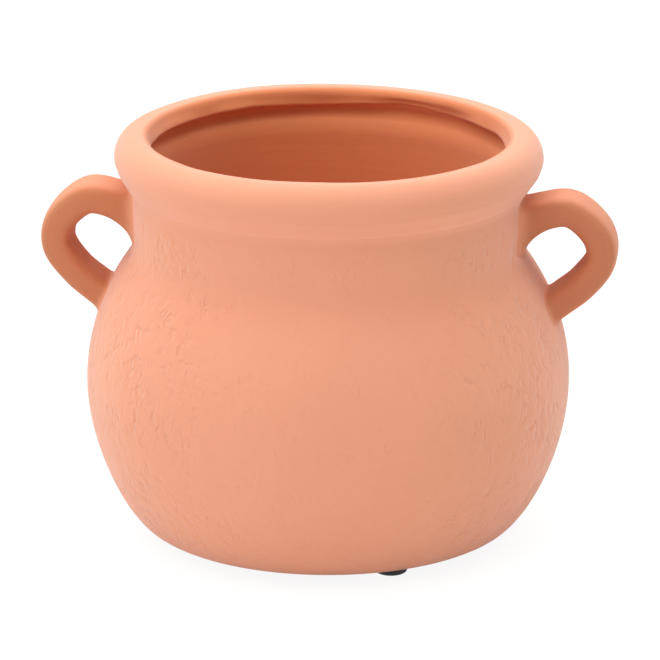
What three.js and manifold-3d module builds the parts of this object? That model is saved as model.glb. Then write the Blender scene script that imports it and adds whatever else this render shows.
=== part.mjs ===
// A small two-handled terracotta planter: a slip-cast pot with a wide flat foot, a round belly,
// a short neck and a rolled rim, two strap handles luted to its sides, and three round rubber
// pads stuck under the foot. Millimetres, +Z up. The origin is on the pot's axis, at the level
// of the surface that the pads stand on. +X points to the right handle, -Y to the front.

import * as THREE from "three";
import { mergeVertices } from "three/addons/utils/BufferGeometryUtils.js";
import Module from "manifold-3d";

const degrees = Math.PI / 180;

// ---- Driving dimensions ----

// Pot: outside
const BELLY_RADIUS = 75.2;
const BELLY_HEIGHT = 45.85; // widest level, above the foot
const SHOULDER_RISE = 69.7; // height of the ellipse that the shoulder is part of
const FOOT_RADIUS = 53.9; // flat of the foot
const FOOT_ROUNDING = 8;
const FLANK_SLOPE = 40 * degrees; // slope of the wall where the foot's rounding ends
const FLANK_PULL = 7.4; // how far the flank keeps that slope
const FLANK_DROP = 19.1; // how far the wall stays upright below the widest level
const NECK_RADIUS = 60.3;
const NECK_HEIGHT = 17; // straight neck, from the crease to the flare under the rim
const CREASE_SOFTNESS = 3.4;

// Pot: rolled rim
const RIM_FLARE_HEIGHT = 7.5; // from the straight neck to the underside of the roll
const FLARE_PULL = 3.4; // how far the flare keeps its slope at each of its ends
const RIM_OVERHANG = 5.5; // how far the roll stands out past the neck
const RIM_ROLL_WIDTH = 13;
const RIM_ROLL_HEIGHT = 14.6;
const RIM_UNDER_ANGLE = -42 * degrees; // where the neck's flare runs into the roll
const LIP_ANGLE = 160 * degrees; // where the roll is trimmed off inside the mouth
const LIP_THICKNESS = 1.3; // rounding of the trimmed edge
const HOLLOW_DEPTH = 3.2; // undercut behind the lip, outward from the neck's inner wall
const HOLLOW_HEIGHT = 5.6; // from the lip's edge down to the neck's inner wall

// Pot: inside
const WALL = 5; // cast thickness of the wall and of the floor

// Strap handles
const STRAP_THICKNESS = 10;
const STRAP_WIDTH = 17;
const STRAP_SQUARENESS = 2.9; // 2 is an ellipse, larger is a squarer section
const HANDLE_TOP_DROP = 5.5; // from the end of the straight neck down to the upper root's middle
const HANDLE_FOOT_DROP = 16; // from the crease down to the lower root's middle
const HANDLE_REACH = 14.5; // how far the strap's middle line stands out past its lower root
const HANDLE_ARCH = 3.2; // how far the upper arm climbs above its root
const ROOT_FLARE = 6.6; // extra thickness of the strap where it is pulled onto the neck
const ROOT_FLARE_LENGTH = 3;
const ROOT_DEPTH = 3.5; // how far the middle line starts and ends under the pot's skin
const UPPER_ROOT_SLOPE = 20 * degrees; // the upper arm leaves the neck rising this much
const LOWER_ROOT_SLOPE = 50 * degrees; // the lower arm runs into the shoulder this steeply
const ROOT_GAP = 0.3; // clay slip between the strap's ends and the pot

// Where the strap's middle line passes between its roots, as shares: out is of the way from
// the neck to the handle's reach, up is of the arch, down is of the way to the lower root.
const UPPER_ARM = { out: 0.3, up: 0.85 };
const ARCH_TOP = { out: 0.62, up: 1 };
const OUTER_BEND = { out: 0.96, down: 0.15 };
const OUTERMOST = { out: 1, down: 0.43 };
const LOWER_ARM = { out: 0.76, down: 0.73 };

// Rubber pads
const PAD_RADIUS = 5;
const PAD_THICKNESS = 2.8;
const PAD_ROUNDING = 0.8;
const PAD_INSET = 1.2; // from the edge of the foot's flat to the pad's edge
const PAD_START = -60 * degrees; // direction of the first pad, from the right handle
const PAD_NAMES = ["front", "back", "left"]; // in turn around the foot
const FILM_THICKNESS = 0.2; // adhesive film between pad and foot
const FILM_MARGIN = 0.3; // how far the film stays inside the pad's edge

// How finely the round stretches are cut, and how near two corners are one
const POT_SEGMENTS = 64;
const PAD_SEGMENTS = 28;
const STRAP_SECTION_POINTS = 20;
const STRAP_STEPS = 32;
const STEPS = {
  rounding: 3,
  flank: 7,
  shoulder: 7,
  crease: 2,
  flare: 4,
  roll: 11,
  lip: 2,
  hollow: 4,
};
const MERGE_DISTANCE = 1e-4;

// ---- Levels and radii that follow from them ----

const footLevel = PAD_THICKNESS + FILM_THICKNESS;
const bellyLevel = footLevel + BELLY_HEIGHT;
const creaseAngle = Math.acos(NECK_RADIUS / BELLY_RADIUS);
const creaseLevel = bellyLevel + SHOULDER_RISE * Math.sin(creaseAngle);
const neckTopLevel = creaseLevel + NECK_HEIGHT;
const rollRadius = RIM_ROLL_WIDTH / 2;
const rollHalfHeight = RIM_ROLL_HEIGHT / 2;
const rollCentre = NECK_RADIUS + RIM_OVERHANG - rollRadius;
const rollStart = neckTopLevel + RIM_FLARE_HEIGHT;
const rollLevel = rollStart - rollHalfHeight * Math.sin(RIM_UNDER_ANGLE);

const point = (radius, height) => new THREE.Vector2(radius, height);
const shifted = (from, distance, angle) =>
  point(from.x + distance * Math.cos(angle), from.y + distance * Math.sin(angle));

// ---- Materials ----

const terracotta = new THREE.MeshStandardMaterial({
  color: 0xe0a07e,
  roughness: 0.85,
  metalness: 0,
});
const rubber = new THREE.MeshStandardMaterial({
  color: 0x1c1a19,
  roughness: 0.75,
  metalness: 0,
});
const adhesive = new THREE.MeshStandardMaterial({
  color: 0xd9d4c8,
  roughness: 0.5,
  metalness: 0,
});

// ---- Solids ----

const wasm = await Module();
wasm.setup();

// A closed geometry as a solid that can be cut.
function solidFrom(geometry) {
  const bare = geometry.clone();
  bare.deleteAttribute("normal");
  bare.deleteAttribute("uv");
  const merged = mergeVertices(bare, MERGE_DISTANCE);
  return new wasm.Manifold(
    new wasm.Mesh({
      numProp: 3,
      vertProperties: merged.attributes.position.array,
      triVerts: new Uint32Array(merged.index.array),
    }),
  );
}

// A solid as a geometry again.
function geometryFrom(solid) {
  const mesh = solid.getMesh();
  const geometry = new THREE.BufferGeometry();
  geometry.setAttribute("position", new THREE.BufferAttribute(mesh.vertProperties, 3));
  geometry.setIndex(new THREE.BufferAttribute(mesh.triVerts, 1));
  geometry.computeVertexNormals();
  return geometry;
}

// Curves end to end as one list of points: each entry is a curve and its number of steps.
function trace(pieces) {
  const points = [];
  for (const [curve, steps] of pieces) {
    const found = curve.getPoints(steps);
    points.push(...(points.length ? found.slice(1) : found));
  }
  return points;
}

// A profile of radii and heights turned about the upright axis.
function turned(profile, segments) {
  return new THREE.LatheGeometry(profile, segments).rotateX(Math.PI / 2);
}

// ---- Pot ----

// The belly's outline, from the foot's flat to the shoulder. Inset by the wall, it is the
// inside of the same wall, because slip builds up an even coat on the mould.
function bellyCurves(inset, neckRadius) {
  const rounding = FOOT_ROUNDING - inset;
  const centre = point(FOOT_RADIUS, footLevel + FOOT_ROUNDING);
  const flankFoot = shifted(centre, rounding, FLANK_SLOPE - Math.PI / 2);
  const belly = point(BELLY_RADIUS - inset, bellyLevel);
  const rise = SHOULDER_RISE - inset;
  const shoulderEnd = Math.acos(neckRadius / belly.x);
  const softened = shoulderEnd - CREASE_SOFTNESS / BELLY_RADIUS;
  const crease = point(neckRadius, bellyLevel + rise * Math.sin(shoulderEnd));
  const shoulder = new THREE.EllipseCurve(0, bellyLevel, belly.x, rise, 0, softened);
  return {
    crease,
    pieces: [
      [new THREE.EllipseCurve(centre.x, centre.y, rounding, rounding,
        -Math.PI / 2, FLANK_SLOPE - Math.PI / 2), STEPS.rounding],
      [new THREE.CubicBezierCurve(
        flankFoot,
        shifted(flankFoot, FLANK_PULL, FLANK_SLOPE),
        point(belly.x, belly.y - FLANK_DROP),
        belly,
      ), STEPS.flank],
      [shoulder, STEPS.shoulder],
      [new THREE.QuadraticBezierCurve(
        shoulder.getPoint(1),
        crease,
        point(neckRadius, crease.y + CREASE_SOFTNESS),
      ), STEPS.crease],
    ],
  };
}

// The outside of the pot, from the middle of the foot to the lip's trimmed edge.
function outsideProfile() {
  const belly = bellyCurves(0, NECK_RADIUS);
  const neckTop = point(NECK_RADIUS, neckTopLevel);
  const roll = new THREE.EllipseCurve(
    rollCentre, rollLevel, rollRadius, rollHalfHeight, RIM_UNDER_ANGLE, LIP_ANGLE);
  const rollFoot = roll.getPoint(0);
  const rollFootSlope = roll.getTangent(0).angle();
  return trace([
    [new THREE.LineCurve(point(0, footLevel), point(FOOT_RADIUS, footLevel)), 1],
    ...belly.pieces,
    [new THREE.LineCurve(point(NECK_RADIUS, belly.crease.y + CREASE_SOFTNESS), neckTop), 1],
    [new THREE.CubicBezierCurve(
      neckTop,
      point(NECK_RADIUS, neckTop.y + FLARE_PULL),
      shifted(rollFoot, -FLARE_PULL, rollFootSlope),
      rollFoot,
    ), STEPS.flare],
    [roll, STEPS.roll],
  ]);
}

// The inside of the pot, from the lip's trimmed edge to the middle of the floor.
function insideProfile(lip) {
  const neckRadius = NECK_RADIUS - WALL;
  const belly = bellyCurves(WALL, neckRadius);
  const lipUnder = point(lip.x + LIP_THICKNESS, lip.y - LIP_THICKNESS);
  const ledge = point(neckRadius, lip.y - HOLLOW_HEIGHT);
  const deepest = neckRadius + HOLLOW_DEPTH;
  const downwards = trace(belly.pieces).reverse();
  return trace([
    [new THREE.QuadraticBezierCurve(lip, point(lip.x, lipUnder.y), lipUnder), STEPS.lip],
    [new THREE.CubicBezierCurve(
      lipUnder,
      point(deepest, lipUnder.y + LIP_THICKNESS / 2),
      point(deepest, (lipUnder.y + ledge.y) / 2),
      ledge,
    ), STEPS.hollow],
    [new THREE.LineCurve(ledge, point(neckRadius, belly.crease.y + CREASE_SOFTNESS)), 1],
  ]).concat(downwards.slice(1), [point(0, footLevel + WALL)]);
}

const outside = outsideProfile();
const inside = insideProfile(outside.at(-1));
const potGeometry = turned(outside.concat(inside.slice(1)), POT_SEGMENTS);

// ---- Handles ----

// The pot's outside made solid and larger by a gap, to cut the handles' ends to its shape.
function grownPot(gap) {
  const top = outside.findIndex((spot) => spot.y > rollLevel);
  const grown = outside.slice(1, top).map((spot, i) => {
    const before = outside[i];
    const after = outside[i + 2];
    return shifted(spot, gap, Math.atan2(after.y - before.y, after.x - before.x) - Math.PI / 2);
  });
  const closed = [point(0, grown[0].y), ...grown, point(0, grown.at(-1).y)];
  return solidFrom(turned(closed, POT_SEGMENTS));
}

// The strap's section: a rounded rectangle, thickness across and width along the second axis.
function strapSection() {
  const power = 2 / STRAP_SQUARENESS;
  const bulge = (value) => Math.sign(value) * Math.abs(value) ** power;
  const corners = Array.from({ length: STRAP_SECTION_POINTS }, (_, i) => {
    const turn = ((i + 0.5) / STRAP_SECTION_POINTS) * 2 * Math.PI;
    return point(
      (STRAP_THICKNESS / 2) * bulge(Math.cos(turn)),
      (STRAP_WIDTH / 2) * bulge(Math.sin(turn)),
    );
  });
  return new THREE.Shape(corners);
}

// The strap's middle line, from inside the neck's wall, out and round, and back into the
// shoulder. It is a flat curve of distances from the axis and heights.
function strapPath() {
  const upper = point(NECK_RADIUS, neckTopLevel - HANDLE_TOP_DROP);
  const lowerLevel = creaseLevel - HANDLE_FOOT_DROP;
  const lowerTurn = Math.asin((lowerLevel - bellyLevel) / SHOULDER_RISE);
  const lower = point(BELLY_RADIUS * Math.cos(lowerTurn), lowerLevel);
  const span = lower.x + HANDLE_REACH - upper.x;
  const drop = upper.y - lower.y;
  const passed = ({ out, up = 0, down = 0 }) =>
    point(upper.x + out * span, upper.y + up * HANDLE_ARCH - down * drop);
  return new THREE.CatmullRomCurve3(
    [
      shifted(upper, -ROOT_DEPTH, UPPER_ROOT_SLOPE),
      upper,
      ...[UPPER_ARM, ARCH_TOP, OUTER_BEND, OUTERMOST, LOWER_ARM].map(passed),
      lower,
      shifted(lower, -ROOT_DEPTH, LOWER_ROOT_SLOPE),
    ].map((spot) => new THREE.Vector3(spot.x, 0, spot.y)),
    false,
    "centripetal",
  );
}

// The section swept along the middle line, thicker at the upper root.
function strapGeometry() {
  const path = strapPath();
  const length = path.getLength();
  const bar = new THREE.ExtrudeGeometry(strapSection(), {
    depth: 1,
    steps: STRAP_STEPS,
    bevelEnabled: false,
  });
  const spots = bar.getAttribute("position");
  for (let i = 0; i < spots.count; i += 1) {
    const along = spots.getZ(i);
    const middle = path.getPointAt(along);
    const tangent = path.getTangentAt(along);
    const fromRoot = Math.max(0, along * length - ROOT_DEPTH);
    const flare = 1 + (ROOT_FLARE / STRAP_THICKNESS) * Math.exp(-fromRoot / ROOT_FLARE_LENGTH);
    const across = spots.getX(i) * flare;
    spots.setXYZ(
      i,
      middle.x + tangent.z * across,
      spots.getY(i),
      middle.z - tangent.x * across,
    );
  }
  return bar;
}

const handleGeometry = geometryFrom(solidFrom(strapGeometry()).subtract(grownPot(ROOT_GAP)));

// ---- Pads ----

const padGeometry = turned(
  trace([
    [new THREE.LineCurve(point(0, 0), point(PAD_RADIUS - PAD_ROUNDING, 0)), 1],
    [new THREE.EllipseCurve(PAD_RADIUS - PAD_ROUNDING, PAD_ROUNDING, PAD_ROUNDING, PAD_ROUNDING,
      -Math.PI / 2, 0), STEPS.rounding],
    [new THREE.LineCurve(point(PAD_RADIUS, PAD_ROUNDING), point(PAD_RADIUS, PAD_THICKNESS)), 1],
    [new THREE.LineCurve(point(PAD_RADIUS, PAD_THICKNESS), point(0, PAD_THICKNESS)), 1],
  ]),
  PAD_SEGMENTS,
);
const filmGeometry = new THREE.CylinderGeometry(
  PAD_RADIUS - FILM_MARGIN, PAD_RADIUS - FILM_MARGIN, FILM_THICKNESS, PAD_SEGMENTS,
).rotateX(Math.PI / 2);

// ---- Assembly ----

const planter = new THREE.Group();

function place(name, geometry, material, parent) {
  const mesh = new THREE.Mesh(geometry, material);
  mesh.name = name;
  parent.add(mesh);
  return mesh;
}

place("pot_body", potGeometry, terracotta, planter);
place("handle_right", handleGeometry, terracotta, planter);
place("handle_left", handleGeometry, terracotta, planter).rotation.z = Math.PI;

const padRing = FOOT_RADIUS - PAD_INSET - PAD_RADIUS;
PAD_NAMES.forEach((name, i) => {
  const direction = PAD_START + (i * 2 * Math.PI) / PAD_NAMES.length;
  const station = new THREE.Group();
  station.position.set(padRing * Math.cos(direction), padRing * Math.sin(direction), 0);
  planter.add(station);
  place(`foot_pad_${name}`, padGeometry, rubber, station);
  place(`adhesive_film_${name}`, filmGeometry, adhesive, station)
    .position.z = PAD_THICKNESS + FILM_THICKNESS / 2;
});

export default planter;
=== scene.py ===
# %% [markdown]
# A small terracotta planter with two ear handles, finished in Blender.
#
# The planter is a slip-cast pot: a wide flat foot, a round belly, a short neck and a thick
# rolled rim. Two clay straps are stuck to its sides, and rubber pads are stuck under it.
# The construction model already holds every piece at its real size. This lesson keeps those
# places and sizes, and makes the surfaces that a camera sees: clay that was worked by hand.

# %% Load the frame
import math

import bmesh
import bpy
from mathutils import Matrix, Vector, noise
from mathutils.bvhtree import BVHTree
from mathutils.geometry import interpolate_bezier


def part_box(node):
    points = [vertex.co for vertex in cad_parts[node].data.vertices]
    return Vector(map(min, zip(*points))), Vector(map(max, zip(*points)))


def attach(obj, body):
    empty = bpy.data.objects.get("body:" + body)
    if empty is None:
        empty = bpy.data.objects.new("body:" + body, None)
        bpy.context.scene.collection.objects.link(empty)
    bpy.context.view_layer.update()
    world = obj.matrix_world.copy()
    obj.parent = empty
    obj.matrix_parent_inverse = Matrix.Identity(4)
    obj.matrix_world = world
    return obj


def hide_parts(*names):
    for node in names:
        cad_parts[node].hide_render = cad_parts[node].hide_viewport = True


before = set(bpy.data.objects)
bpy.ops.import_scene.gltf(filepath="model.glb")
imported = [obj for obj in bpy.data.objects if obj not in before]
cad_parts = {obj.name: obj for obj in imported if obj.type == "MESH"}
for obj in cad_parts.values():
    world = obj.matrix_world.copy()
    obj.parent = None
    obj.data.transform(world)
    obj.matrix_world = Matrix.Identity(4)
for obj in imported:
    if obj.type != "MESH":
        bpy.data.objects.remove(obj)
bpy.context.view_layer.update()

MM = 0.001
print("nodes:", sorted(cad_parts))

# %% [markdown]
# The camera comes first, so that every later look at the model has the photograph's view.
# It is a long lens, well back, that looks down on the pot. Its place is given as a distance
# on the floor, a height and a turn about the pot, which are the things that one would
# measure in a studio.

# %% Camera
IMAGE_WIDTH = 660
FOCAL_PIXELS = 4546.8
SENSOR_WIDTH = 36.0
CAMERA_DISTANCE = 1.350
CAMERA_HEIGHT = 0.4916
CAMERA_PITCH = math.radians(17.59)
CAMERA_AZIMUTH = math.radians(6.2)
CAMERA_ASIDE = 0.00058

away = Vector((math.sin(CAMERA_AZIMUTH), -math.cos(CAMERA_AZIMUTH), 0))
rightwards = Vector((math.cos(CAMERA_AZIMUTH), math.sin(CAMERA_AZIMUTH), 0))
camera_data = bpy.data.cameras.new("camera")
camera_data.sensor_width = SENSOR_WIDTH
camera_data.lens = FOCAL_PIXELS / IMAGE_WIDTH * SENSOR_WIDTH
camera_data.clip_end = 20
camera = bpy.data.objects.new("camera", camera_data)
camera.location = (
    CAMERA_DISTANCE * away + CAMERA_ASIDE * rightwards + Vector((0, 0, CAMERA_HEIGHT))
)
camera.rotation_euler = (math.pi / 2 - CAMERA_PITCH, 0, CAMERA_AZIMUTH)
bpy.context.scene.collection.objects.link(camera)
bpy.context.scene.camera = camera
print("lens in mm:", round(camera_data.lens, 1))

# %% [markdown]
# Profiles are drawn as flat points: a radius from the pot's axis and a height. A potter
# thinks of a pot the same way, as one line that is turned. Round stretches are arcs or
# Bezier curves, and each stretch is cut into steps of about the same length, because the
# hand-worked unevenness that comes later needs evenly spread vertices.


# %% Curves for profiles
def spot(radius, height):
    return Vector((radius, 0, height))


def moved(start, distance, angle):
    return start + distance * Vector((math.cos(angle), 0, math.sin(angle)))


def arc(centre, half_width, half_height, start, stop, steps=96):
    turns = [start + (stop - start) * i / steps for i in range(steps + 1)]
    return [centre + spot(half_width * math.cos(t), half_height * math.sin(t)) for t in turns]


def bezier(start, start_pull, end_pull, end, steps=96):
    return interpolate_bezier(start, start_pull, end_pull, end, steps + 1)


def lengths_along(points):
    lengths = [0.0]
    for a, b in zip(points, points[1:]):
        lengths.append(lengths[-1] + (b - a).length)
    return lengths


def evenly(points, step=None, count=None):
    """The same line cut evenly: into so many pieces, or into pieces about a step long."""
    lengths = lengths_along(points)
    count = count or max(1, math.ceil(lengths[-1] / step))
    found, leg = [], 0
    for i in range(count + 1):
        wanted = lengths[-1] * i / count
        while leg < len(points) - 2 and lengths[leg + 1] < wanted:
            leg += 1
        share = (wanted - lengths[leg]) / max(lengths[leg + 1] - lengths[leg], 1e-12)
        found.append(points[leg].lerp(points[leg + 1], min(max(share, 0.0), 1.0)))
    return found


def joined(stretches):
    """Stretches of (points, step) end to end as one line."""
    line = []
    for points, step in stretches:
        line += evenly(points, step)[1 if line else 0:]
    return line


def smooth(value, low, high):
    share = min(max((value - low) / (high - low), 0.0), 1.0)
    return share * share * (3 - 2 * share)


# %% [markdown]
# The pot's outside follows the outline of the real one: a rounded edge around the foot, a
# flank that turns up into the belly, a shoulder that is part of an ellipse, a soft crease,
# a straight neck, and a rolled rim. Under the roll the neck flares in two stages, with a
# faint step between, where the cast neck ends and the rim was turned.
#
# On top a knife cut the roll back to a steep face. The lip at the foot of that face stands in
# over a shallow hollow, and below the hollow the wall is about as thick everywhere. The inside
# of the belly is therefore the same outline again, drawn a wall's thickness further in.

# %% Sizes of the pot
pot_low, pot_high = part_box("pot_body")
FOOT_LEVEL = pot_low.z
BELLY_RADIUS = (pot_high.y - pot_low.y) / 2
BELLY_LEVEL = FOOT_LEVEL + 45.85 * MM
SHOULDER_RISE = 69.7 * MM
FOOT_RADIUS = 53.9 * MM
FOOT_ROUNDING = 8 * MM
FLANK_SLOPE = math.radians(40)
FLANK_PULL = 7.4 * MM
FLANK_DROP = 19.1 * MM
NECK_RADIUS = 60.3 * MM
CREASE_ANGLE = math.acos(NECK_RADIUS / BELLY_RADIUS)
CREASE_LEVEL = BELLY_LEVEL + SHOULDER_RISE * math.sin(CREASE_ANGLE)
CREASE_SOFTNESS = 3.4 * MM
ROLL_HALF_WIDTH = 6.5 * MM
ROLL_HALF_HEIGHT = 7.3 * MM
ROLL_OVERHANG = 5.5 * MM
ROLL_RADIUS = NECK_RADIUS + ROLL_OVERHANG - ROLL_HALF_WIDTH
ROLL_LEVEL = pot_high.z - ROLL_HALF_HEIGHT
ROLL_UNDER = math.radians(-42)
ROLL_INNER = math.radians(90)
FLARE_HEIGHT = 7.5 * MM
NECK_TOP = ROLL_LEVEL + ROLL_HALF_HEIGHT * math.sin(ROLL_UNDER) - FLARE_HEIGHT
SEAM_START = spot(NECK_RADIUS + 0.9 * MM, NECK_TOP + 3.3 * MM)
SEAM_END = spot(NECK_RADIUS + 2.0 * MM, NECK_TOP + 4.5 * MM)
WALL = 5 * MM
HOLLOW_DEPTH = 3.2 * MM
HOLLOW_HEIGHT = 5.6 * MM
print("crease, neck top and roll in mm:",
      [round(z / MM, 1) for z in (CREASE_LEVEL, NECK_TOP, ROLL_LEVEL)])

# %% [markdown]
# The outline is drawn in stretches, each with its own step: fine where the wall will be
# wrinkled, finer still on the roll and its edges, and coarse on the foot and inside, where
# nothing small happens. So the vertices go where the camera looks.

# %% Steps and the trimmed rim
FINE_STEP = 1.15 * MM
ROLL_STEP = 0.7 * MM
EDGE_STEP = 0.45 * MM
COARSE_STEP = 5 * MM
FLAT_STEP = 18 * MM
LIP = spot(ROLL_RADIUS - 5.4 * MM, ROLL_LEVEL + 2.35 * MM)
TRIM_LEAN = 1.9 * MM
TRIM_HEIGHT = 4.75 * MM
TRIM_ROUNDING = 1.4 * MM
LIP_ROUNDING = 0.6 * MM
print("lip in mm from the axis:", round(LIP.x / MM, 1))

# %% The outline of the pot
CORNER_PULL = 0.6
NECK_FLARE = math.radians(70)
ROLL_FLARE = math.radians(58)
NECK_LEAVE = 1.6 * MM
SEAM_ARRIVE = 1.0 * MM
SEAM_LEAVE = 0.4 * MM
ROLL_ARRIVE = 0.6 * MM
LIP_LEAN = 0.2 * MM


def corner_curve(before, corner, after, size):
    """A rounded corner between two straight lines, that starts a size from the corner."""
    start = corner + (before - corner).normalized() * size
    end = corner + (after - corner).normalized() * size
    return bezier(
        start, start.lerp(corner, CORNER_PULL), end.lerp(corner, CORNER_PULL), end)


def belly_outline(inset, neck_radius, step):
    """The belly from the foot's flat to the neck, or the same wall's inside, inset."""
    rounding = FOOT_ROUNDING - inset
    centre = spot(FOOT_RADIUS, FOOT_LEVEL + FOOT_ROUNDING)
    flank_foot = moved(centre, rounding, FLANK_SLOPE - math.pi / 2)
    widest = spot(BELLY_RADIUS - inset, BELLY_LEVEL)
    rise = SHOULDER_RISE - inset
    shoulder_end = math.acos(neck_radius / widest.x)
    softened = shoulder_end - CREASE_SOFTNESS / BELLY_RADIUS
    shoulder = arc(spot(0, BELLY_LEVEL), widest.x, rise, 0, softened)
    crease = spot(neck_radius, BELLY_LEVEL + rise * math.sin(shoulder_end))
    neck_foot = crease + spot(0, CREASE_SOFTNESS)
    return [
        (arc(centre, rounding, rounding, -math.pi / 2, FLANK_SLOPE - math.pi / 2), step),
        (bezier(flank_foot, moved(flank_foot, FLANK_PULL, FLANK_SLOPE),
                widest - spot(0, FLANK_DROP), widest), step),
        (shoulder, step),
        (bezier(shoulder[-1], shoulder[-1].lerp(crease, CORNER_PULL),
                neck_foot.lerp(crease, CORNER_PULL), neck_foot), step),
    ]


def outside_outline():
    """From the middle of the foot up the outside, over the rim and down to the lip."""
    roll = arc(spot(ROLL_RADIUS, ROLL_LEVEL), ROLL_HALF_WIDTH, ROLL_HALF_HEIGHT,
               ROLL_UNDER, ROLL_INNER)
    trim_top = LIP + spot(TRIM_LEAN, TRIM_HEIGHT)
    trim_corner = corner_curve(roll[-1], trim_top, LIP, TRIM_ROUNDING)
    neck_top = spot(NECK_RADIUS, NECK_TOP)
    belly = belly_outline(0, NECK_RADIUS, FINE_STEP)
    neck_foot = belly[-1][0][-1]
    return joined([
        ([spot(0, FOOT_LEVEL), spot(FOOT_RADIUS, FOOT_LEVEL)], FLAT_STEP),
        *belly,
        ([neck_foot, neck_top], FINE_STEP),
        (bezier(neck_top, neck_top + spot(0, NECK_LEAVE),
                moved(SEAM_START, -SEAM_ARRIVE, NECK_FLARE), SEAM_START), ROLL_STEP),
        (bezier(SEAM_START, moved(SEAM_START, SEAM_LEAVE, NECK_FLARE),
                moved(SEAM_END, -ROLL_ARRIVE, ROLL_FLARE), SEAM_END), EDGE_STEP),
        ([SEAM_END, roll[0]], ROLL_STEP),
        (roll, ROLL_STEP),
        ([roll[-1], trim_corner[0]], ROLL_STEP),
        (trim_corner, EDGE_STEP),
        ([trim_corner[-1], LIP + spot(LIP_LEAN, LIP_ROUNDING)], EDGE_STEP * 1.5),
    ])


# %% The inside, and the whole outline
LIP_PULL = 0.7
LIP_UNDERCUT = 0.3 * MM
HOLLOW_BULGE = 0.6 * MM
HOLLOW_LEAVE = 0.4 * MM
HOLLOW_ARRIVE = 1.6 * MM


def inside_outline(start):
    """From the lip, through the hollow under it, down the inside to the middle of the floor."""
    neck_radius = NECK_RADIUS - WALL
    lip_under = LIP + spot(LIP_ROUNDING, -LIP_UNDERCUT)
    ledge = spot(neck_radius, LIP.z - HOLLOW_HEIGHT)
    deepest = neck_radius + HOLLOW_DEPTH
    belly = joined(belly_outline(WALL, neck_radius, COARSE_STEP))[::-1]
    return joined([
        (bezier(start, start.lerp(LIP, LIP_PULL), lip_under.lerp(LIP, LIP_PULL), lip_under),
         EDGE_STEP),
        (bezier(lip_under, spot(deepest + HOLLOW_BULGE, lip_under.z - HOLLOW_LEAVE),
                spot(deepest, ledge.z + HOLLOW_ARRIVE), ledge), ROLL_STEP),
        ([ledge, belly[0]], COARSE_STEP),
    ]) + belly[1:] + [spot(FOOT_RADIUS / 2, FOOT_LEVEL + WALL), spot(0, FOOT_LEVEL + WALL)]


outside = outside_outline()
inside = inside_outline(outside[-1])
pot_outline = outside + inside[1:]
print("points in the outline:", len(outside), "outside and", len(inside), "inside")

# %% [markdown]
# Turning the outline is what Blender calls a spin: an edge chain is swept about an axis. A
# full spin merges its last copy with its first. The two points on the axis leave a stack of
# doubles at each pole, so doubles are merged, and only then are the normals turned outward.

# %% Turn the pot
POT_STEPS = 480
MERGE_DISTANCE = 0.001 * MM


def chain(bm, points):
    """An outline as a chain of edges, ready to be turned."""
    verts = [bm.verts.new(p) for p in points]
    edges = [bm.edges.new(pair) for pair in zip(verts, verts[1:])]
    return verts + edges


def turn(bm, points, steps):
    """Spins an outline about the upright axis into a closed skin."""
    bmesh.ops.spin(bm, geom=chain(bm, points), cent=(0, 0, 0), axis=(0, 0, 1),
                   dvec=(0, 0, 0), angle=2 * math.pi, space=Matrix.Identity(4),
                   steps=steps, use_merge=True, use_normal_flip=False,
                   use_duplicate=False)
    bmesh.ops.remove_doubles(bm, verts=bm.verts, dist=MERGE_DISTANCE)
    bmesh.ops.recalc_face_normals(bm, faces=bm.faces)


pot_bm = bmesh.new()
turn(pot_bm, pot_outline, POT_STEPS)
print("pot:", len(pot_bm.faces), "faces")

# %% [markdown]
# A cast pot is never perfectly round. The rim leans a little and is wider on one side. Its
# trimmed lip wanders up and down, and at the back right it rises and stands further out.
# The wall has broad shallow swells from drying, and under the roll a tool left a fine line.
# These are moves of a millimetre or so, made by adding slow waves to the vertices. They fade
# out before the foot and before the inside of the belly, so that the pads meet a flat face.
#
# Blender's noise vectors take their seed from the clock unless it is set. It is set here, so
# that the pot comes out the same each time.

# %% Slow waves
NOISE_SEED = 7
noise.seed_set(NOISE_SEED)
NOISE_PLACE = Vector((3.7, 1.9, 8.3))


def around(angle, waves, seed):
    """A closed wave around the pot with about so many swells, between about -1 and 1."""
    reach = waves / 4
    return 2 * noise.noise(Vector((reach * math.cos(angle), reach * math.sin(angle), seed)))


def on_outer_side(vert):
    return vert.normal.dot(Vector((vert.co.x, vert.co.y, 0))) > 0


# %% Make it uneven
RIM_TILT = -0.38 * MM
RIM_SWELL = 0.25 * MM
RIM_LIFT = 0.15 * MM
LIP_WANDER = 0.55 * MM
SLOW_SHARE = 0.75
LIP_RISE = 1.0 * MM
LIP_RISE_PLACE = math.radians(71)
LIP_RISE_WIDTH = math.radians(17)
LIP_NEAR = 0.4 * MM
LIP_FAR = 3.4 * MM
LIP_BACK = 1.3 * MM
LIP_BACK_NEAR = math.radians(12)
LIP_BACK_FAR = math.radians(50)
TRIM_WANDER = 0.4 * MM
RIM_WIDER = 0.5 * MM
WALL_SWELL = 0.35 * MM
SWELL_LENGTH = 34 * MM
SWELL_FADE = 12 * MM
TURNING_LINE = ROLL_LEVEL - 1.6 * MM
TURNING_DEPTH = 0.26 * MM
TURNING_EDGE = 0.3 * MM
TURNING_SOFTNESS = 0.2 * MM
TURNING_WIDTH = 3 * MM
FOOT_EDGE = 0.1 * MM

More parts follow.
